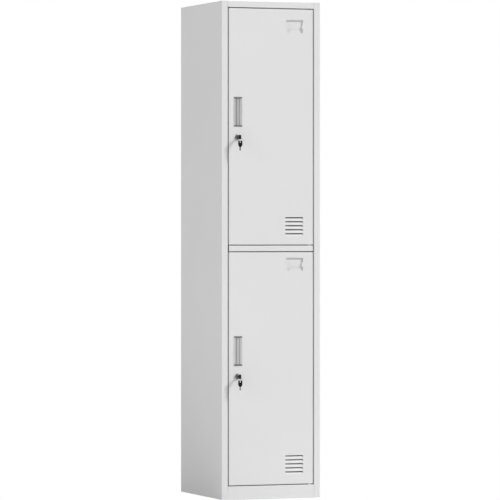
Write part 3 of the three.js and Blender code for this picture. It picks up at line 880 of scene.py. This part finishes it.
class LOCKER_OT_keys(Operator):
    """Model the keys: moulded bows with a sunk panel, milled blades, and the ring"""

    bl_idname = "locker.keys"
    bl_label = "Keys"

    rim: FloatProperty(
        name="Rim", description="Width of the rim that is left around the bow's sunk panel",
        unit="LENGTH", min=0.0002, max=0.003, default=0.0012, precision=4,
    )
    sink: FloatProperty(
        name="Sink", description="Depth of the bow's sunk panel", unit="LENGTH",
        min=0, max=0.001, default=0.0004, precision=4,
    )
    hole: FloatProperty(
        name="Hole", description="Radius of the hole for the ring", unit="LENGTH",
        min=0.001, max=0.006, default=0.003, precision=4,
    )
    hole_inset: FloatProperty(
        name="Hole Inset", description="From the bow's end to the middle of its hole", unit="LENGTH",
        min=0.002, max=0.01, default=0.0051, precision=4,
    )
    spare_turn: FloatProperty(
        name="Spare Turn", description="How far the hanging key is turned on the ring", subtype="ANGLE",
        default=math.radians(40),
    )

    def plate(self, name, low, high, corner):
        """A flat plate with round corners at the ring's end, and sides that close in towards the blade."""
        taper = 0.0072
        neck_share = 0.42
        knee_share = 0.8
        plate = box(name, low, high)
        edit(plate)
        bpy.ops.mesh.bisect(plane_co=(0, high.y - taper, 0), plane_no=AXIS_Y)
        select_faces(plate, AXIS_Y)
        bpy.ops.transform.resize(value=(1, 1, neck_share), center_override=(low + high) / 2)
        leave_edit()
        round_edges(plate, AXIS_X, AXIS_Y, low.y, corner, 12)
        round_edges(plate, AXIS_X, AXIS_Y, high.y - taper, corner * knee_share, 8)
        return plate

    def bow(self, width):
        """A flat moulded bow with the ring's hole, and a sunk panel on each side."""
        low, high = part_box("upper_key_bow")
        corner = 0.0038
        panel_corner = 0.002
        bow = self.plate("upper_key_bow_finished", low, high, corner)
        hole = Vector((low.x - self.rim, low.y + self.hole_inset, (low.z + high.z) / 2))
        slice_at(bow, hole, AXIS_Y)
        length = high.x - low.x + 2 * self.rim
        steps = 48
        combine(bow, turned("ring_hole", hole, AXIS_X, [(self.hole, 0), (self.hole, length)], steps))
        bevel(bow, width, segments=3)
        inner = Vector((0, self.hole_inset + self.hole + self.rim, self.rim))
        outer = Vector((0, self.rim, self.rim))
        reach = Vector((self.sink, 0, 0))
        for face in (low.x, high.x):
            panel_low = Vector((face, low.y, low.z)) + inner - reach
            panel_high = Vector((face, high.y, high.z)) - outer + reach
            combine(bow, self.plate("sunk_panel", panel_low, panel_high, panel_corner))
        smooth(bow, SOFT_ANGLE)
        return bow

    def blade(self, width):
        """A flat steel blade with its bitting, and a groove milled along each side."""
        low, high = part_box("upper_key_blade")
        blade = whole_copy("upper_key_blade", "upper_key_blade_finished")
        middle_share = 0.62
        half_share = 0.14
        depth_share = 0.22
        start = 0.004
        middle = low.z + (high.z - low.z) * middle_share
        half = (high.z - low.z) * half_share
        depth = (high.x - low.x) * depth_share
        for face in (low.x, high.x):
            groove_low = Vector((face - depth, low.y + start, middle - half))
            groove_high = Vector((face + depth, high.y + OVERRUN, middle + half))
            combine(blade, box("milling", groove_low, groove_high))
        bevel(blade, width / 3)
        smooth(blade)
        return blade

    def spare_copy(self, piece, name):
        """A copy of a piece of the key in the lock, hung from the ring as the spare key is."""
        low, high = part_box("upper_key_bow")
        spare_low, spare_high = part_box("upper_spare_key_bow")
        eye = entry(low, high, AXIS_Y)
        eye.y = low.y + self.hole_inset
        hang = entry(spare_low, spare_high, -AXIS_Z)
        hang.z = spare_high.z - self.hole_inset
        turn = Matrix.Rotation(self.spare_turn, 4, "Z") @ Matrix.Rotation(math.radians(-90), 4, "X")
        twin = copy_of(piece, name)
        twin.data.transform(Matrix.Translation(hang) @ turn @ Matrix.Translation(-eye))
        return twin

    def ring(self):
        """A split ring: round spring wire wound twice, each turn beside the last."""
        low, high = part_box("upper_key_ring")
        turns = 2
        steps = 72
        sides = 12
        wire = (high.y - low.y) / (2 * (turns + 1))
        radius = (high.x - low.x) / 2 - (high.y - low.y) / 2
        pitch = wire * 2
        centre = (low + high) / 2
        start = centre - AXIS_Y * pitch * turns / 2
        deselect_all()
        bpy.ops.mesh.primitive_circle_add(
            vertices=sides, radius=wire, fill_type="NGON", location=start + AXIS_X * radius,
        )
        ring = bpy.context.object
        ring.name = "upper_key_ring_finished"
        bpy.ops.object.transform_apply(location=True, rotation=True, scale=True)
        edit(ring)
        for _ in range(steps * turns):
            bpy.ops.mesh.extrude_region_move(TRANSFORM_OT_translate={"value": AXIS_Y * pitch / steps})
            bpy.ops.transform.rotate(value=2 * math.pi / steps, orient_axis="Y", center_override=centre)
        bpy.ops.mesh.select_all(action="SELECT")
        bpy.ops.mesh.normals_make_consistent(inside=False)
        leave_edit()
        smooth(ring, math.radians(60))
        return ring

    def execute(self, context):
        made = finishes()
        width = context.scene.locker_fittings.edge_round
        bow = self.bow(width)
        blade = self.blade(width)
        spare_bow = self.spare_copy(bow, "upper_spare_key_bow_finished")
        spare_blade = self.spare_copy(blade, "upper_spare_key_blade_finished")
        seat_on_both(bow, "key_bow", "key", made["bow_plastic_finish"])
        seat_on_both(spare_bow, "spare_key_bow", "spare_key", made["bow_plastic_finish"])
        seat_on_both(blade, "key_blade", "key", made["plated_steel_finish"])
        seat_on_both(spare_blade, "spare_key_blade", "spare_key", made["plated_steel_finish"])
        seat_on_both(self.ring(), "key_ring", "ring", made["plated_steel_finish"])
        return {"FINISHED"}


class LOCKER_OT_rods(Operator):
    """Model the coat rods and their sockets"""

    bl_idname = "locker.rods"
    bl_label = "Coat Rods"

    wall: FloatProperty(
        name="Wall", description="Wall of the rod's tube", unit="LENGTH",
        min=0.0005, max=0.003, default=0.0012, precision=4,
    )

    def rod(self, finish, steps):
        """A tube with its ends chamfered."""
        low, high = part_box("upper_coat_rod")
        radius = (high.z - low.z) / 2
        bore = radius - self.wall
        length = high.x - low.x
        chamfer = self.wall / 3
        profile = [
            (bore, 0),
            (radius - chamfer, 0),
            (radius, chamfer),
            (radius, length - chamfer),
            (radius - chamfer, length),
            (bore, length),
            (bore, 0),
        ]
        rod = turned("upper_coat_rod_finished", entry(low, high, AXIS_X), AXIS_X, profile, steps)
        smooth(rod)
        seat_on_both(rod, "coat_rod", "cabinet", finish)

    def socket(self, part, way, finish, steps):
        """A round flange on the case's side, with a cup that holds the rod's end."""
        low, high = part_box(node_name("upper", part))
        rod_low, rod_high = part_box("upper_coat_rod")
        outer = (high.z - low.z) / 2
        depth = high.x - low.x
        flange = 0.0025
        edge = 0.001
        cup_share = 0.7
        cup = outer * cup_share
        hole = (rod_high.z - rod_low.z) / 2 + PLAY
        profile = [
            (outer, 0),
            (outer, flange - edge),
            (outer - edge, flange),
            (cup + edge, flange),
            (cup, flange + edge),
            (cup - edge / 2, depth - edge),
            (cup - edge * 1.25, depth),
            (hole + edge / 2, depth),
            (hole, depth - edge * 0.75),
            (hole, flange),
        ]
        socket = turned(f"upper_{part}_finished", entry(low, high, way), way, profile, steps)
        smooth(socket)
        seat_on_both(socket, part, "cabinet", finish)

    def execute(self, context):
        made = finishes()
        steps = context.scene.locker_fittings.round_steps
        self.rod(made["drawn_rod_finish"], steps)
        self.socket("rod_left_socket", AXIS_X, made["cap_plastic_finish"], steps)
        self.socket("rod_right_socket", -AXIS_X, made["cap_plastic_finish"], steps)
        return {"FINISHED"}


class LOCKER_OT_hinges(Operator):
    """Model the hinge pins, their washers and the doors' buffers"""

    bl_idname = "locker.hinges"
    bl_label = "Hinges and Buffers"

    shank: FloatProperty(
        name="Shank", description="Radius of the hinge pin's shank", unit="LENGTH",
        min=0.001, max=0.006, default=0.003, precision=4,
    )
    head: FloatProperty(
        name="Head", description="Height of the hinge pin's head", unit="LENGTH",
        min=0.001, max=0.006, default=0.0015, precision=4,
    )

    def pin(self, part, way, finish, steps):
        """A headed pin: its head on the frame, its shank up or down into the door."""
        low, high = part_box(node_name("upper", part))
        head = (high.x - low.x) / 2
        length = high.z - low.z
        edge = 0.0004
        tip_shares = ((1, 0.5), (0.82, 0.18), (0.5, 0))
        profile = [
            (POINT, 0),
            (head - edge, 0),
            (head, edge),
            (head, self.head - edge),
            (head - edge, self.head),
            (self.shank, self.head),
        ]
        profile += [(self.shank * across, length - self.shank * back) for across, back in tip_shares]
        profile.append((POINT, length))
        pin = turned(f"upper_{part}_finished", entry(low, high, way), way, profile, steps)
        smooth(pin)
        seat_on_both(pin, part, "cabinet", finish)

    def washer(self, finish, steps):
        """A flat nylon washer around the bottom pin's shank, with broken edges."""
        low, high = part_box("upper_hinge_washer")
        outer = (high.x - low.x) / 2
        bore = self.shank + PLAY
        height = high.z - low.z
        edge_share = 0.15
        edge = height * edge_share
        profile = [
            (bore, edge),
            (bore + edge, 0),
            (outer - edge, 0),
            (outer, edge),
            (outer, height - edge),
            (outer - edge, height),
            (bore + edge, height),
            (bore, height - edge),
            (bore, edge),
        ]
        washer = turned("upper_hinge_washer_finished", entry(low, high, AXIS_Z), AXIS_Z, profile, steps)
        smooth(washer)
        seat_on_both(washer, "hinge_washer", "cabinet", finish)

    def buffer(self, part, finish, steps):
        """A stick-on rubber dome on the stop lip."""
        low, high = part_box(node_name("upper", part))
        radius = (high.x - low.x) / 2
        height = high.y - low.y
        profile = [(POINT, 0), (radius, 0)] + dome(radius, 0, height, rim_share=0.25)
        profile.append((POINT, height))
        buffer = turned(f"upper_{part}_finished", entry(low, high, -AXIS_Y), -AXIS_Y, profile, steps)
        smooth(buffer, SOFT_ANGLE)
        seat_on_both(buffer, part, "cabinet", finish)

    def execute(self, context):
        made = finishes()
        steps = context.scene.locker_fittings.round_steps // 2
        self.pin("door_bottom_pin", AXIS_Z, made["plated_steel_finish"], steps)
        self.pin("door_top_pin", -AXIS_Z, made["plated_steel_finish"], steps)
        self.washer(made["nylon_finish"], steps)
        self.buffer("door_bottom_buffer", made["rubber_finish"], steps)
        self.buffer("door_top_buffer", made["rubber_finish"], steps)
        return {"FINISHED"}


class LOCKER_OT_stage(Operator):
    """Set up the camera, the lights, the surroundings and the floor"""

    bl_idname = "locker.stage"
    bl_label = "Studio"

    def light(self, name, towards, strength, softness):
        data = bpy.data.lights.new(name, "SUN")
        data.energy = strength
        data.angle = softness
        lamp = bpy.data.objects.new(name, data)
        lamp.rotation_euler = Vector(towards).to_track_quat("Z", "Y").to_euler()
        bpy.context.scene.collection.objects.link(lamp)

    def surroundings(self, strength):
        """An even studio that shows white behind the locker, and darker in its gloss from low down."""
        low_share = 0.3
        high_share = 1.2
        world = bpy.data.worlds.new("studio")
        world.use_nodes = True
        tree = world.node_tree
        rays = tree.nodes.new("ShaderNodeLightPath")
        view = tree.nodes.new("ShaderNodeTexCoord").outputs["Generated"]
        direction = add_node(tree, "SeparateXYZ", {"Vector": view})
        walls = add_node(tree, "MapRange", {
            "Value": direction.outputs["Z"], "From Min": 0, "From Max": 0.8,
            "To Min": strength * low_share, "To Max": strength * high_share,
        }, interpolation_type="SMOOTHSTEP")
        reflected = add_node(tree, "Mix", {
            "Factor": rays.outputs["Is Glossy Ray"], "A": strength, "B": walls.outputs["Result"],
        })
        level = add_node(tree, "Mix", {
            "Factor": rays.outputs["Is Camera Ray"], "A": reflected.outputs["Result"], "B": 1,
        })
        shade = tree.nodes["Background"]
        shade.inputs["Color"].default_value = (1, 1, 1, 1)
        tree.links.new(level.outputs["Result"], shade.inputs["Strength"])
        bpy.context.scene.world = world

    def floor(self, size):
        """A floor that shows white, with a painted shadow in its colour beside the locker's left foot, so
        that it throws less light back from there.
        """
        drop = 0.0002
        left_foot = (-0.5, 0.25, 0)
        deselect_all()
        bpy.ops.mesh.primitive_plane_add(size=size, location=(0, 0, -drop))
        ground = bpy.context.object
        ground.name = "studio_floor"
        bpy.ops.object.transform_apply(location=True, rotation=True, scale=True)
        material, tree, shader, place = new_material("white_floor", metallic=0, roughness=0.9)
        # Painted shadow: the floor's colour darkens towards the locker's left foot, in place of the
        # locker's own shadow on the floor
        reach = add_node(tree, "VectorMath", {0: place, 1: left_foot}, operation="DISTANCE")
        shade = add_node(tree, "MapRange", {
            "Value": reach.outputs["Value"], "From Min": 0.1, "From Max": 1.1,
            "To Min": 0.45, "To Max": 0.8,
        }, interpolation_type="SMOOTHSTEP")
        tree.links.new(shade.outputs["Result"], shader.inputs["Base Color"])
        glow = add_node(tree, "Emission", {"Color": (1, 1, 1, 1)})
        mix = add_node(tree, "MixShader", {
            "Fac": tree.nodes.new("ShaderNodeLightPath").outputs["Is Camera Ray"],
            1: shader.outputs["BSDF"],
            2: glow.outputs["Emission"],
        })
        tree.links.new(mix.outputs["Shader"], tree.nodes["Material Output"].inputs["Surface"])
        ground.data.materials.append(material)

    def camera(self, stage):
        data = bpy.data.cameras.new("camera")
        data.sensor_width = 36
        data.lens = stage.lens
        data.shift_y = stage.shift
        data.clip_end = 100
        camera = bpy.data.objects.new("camera", data)
        camera.location = stage.camera_place
        camera.rotation_euler = (math.pi / 2, 0, -stage.camera_turn)
        bpy.context.scene.collection.objects.link(camera)
        bpy.context.scene.camera = camera

    def execute(self, context):
        stage = context.scene.locker_stage
        main_way = (1.3, -1, 1.35)
        main_softness = math.radians(3)
        fill_way = (-1, -0.35, 0.5)
        fill_softness = math.radians(25)
        context.scene.view_settings.view_transform = "Standard"
        self.camera(stage)
        self.light("main_light", main_way, stage.main_strength, main_softness)
        self.light("fill_light", fill_way, stage.fill_strength, fill_softness)
        self.surroundings(stage.ambient)
        self.floor(stage.floor_size)
        return {"FINISHED"}


class LOCKER_PT_panel(Panel):
    """The locker's sizes, colours and building steps"""

    bl_idname = "LOCKER_PT_panel"
    bl_label = "Two-Door Locker"
    bl_space_type = "VIEW_3D"
    bl_region_type = "UI"
    bl_category = "Locker"

    def draw(self, context):
        for settings in ("locker_paint", "locker_fittings", "locker_stage"):
            group = getattr(context.scene, settings)
            section = self.layout.box()
            for name in group.bl_rna.properties.keys():
                if name not in ("rna_type", "name"):
                    section.prop(group, name)
        for operator in OPERATORS:
            self.layout.operator(operator.bl_idname)


SETTINGS = {
    "locker_paint": LockerPaint,
    "locker_fittings": LockerFittings,
    "locker_stage": LockerStage,
}
OPERATORS = (
    LOCKER_OT_stage,
    LOCKER_OT_case,
    LOCKER_OT_doors,
    LOCKER_OT_pulls,
    LOCKER_OT_locks,
    LOCKER_OT_keys,
    LOCKER_OT_rods,
    LOCKER_OT_hinges,
)


def register():
    for name, settings in SETTINGS.items():
        register_class(settings)
        setattr(bpy.types.Scene, name, PointerProperty(type=settings))
    for operator in OPERATORS:
        register_class(operator)
    register_class(LOCKER_PT_panel)


def unregister():
    unregister_class(LOCKER_PT_panel)
    for operator in reversed(OPERATORS):
        unregister_class(operator)
    for name, settings in SETTINGS.items():
        delattr(bpy.types.Scene, name)
        unregister_class(settings)


def main():
    register()
    bpy.ops.locker.stage()
    bpy.ops.locker.case()
    bpy.ops.locker.doors()
    bpy.ops.locker.pulls()
    bpy.ops.locker.locks()
    bpy.ops.locker.keys()
    bpy.ops.locker.rods()
    bpy.ops.locker.hinges()


if __name__ == "__main__":
    main()
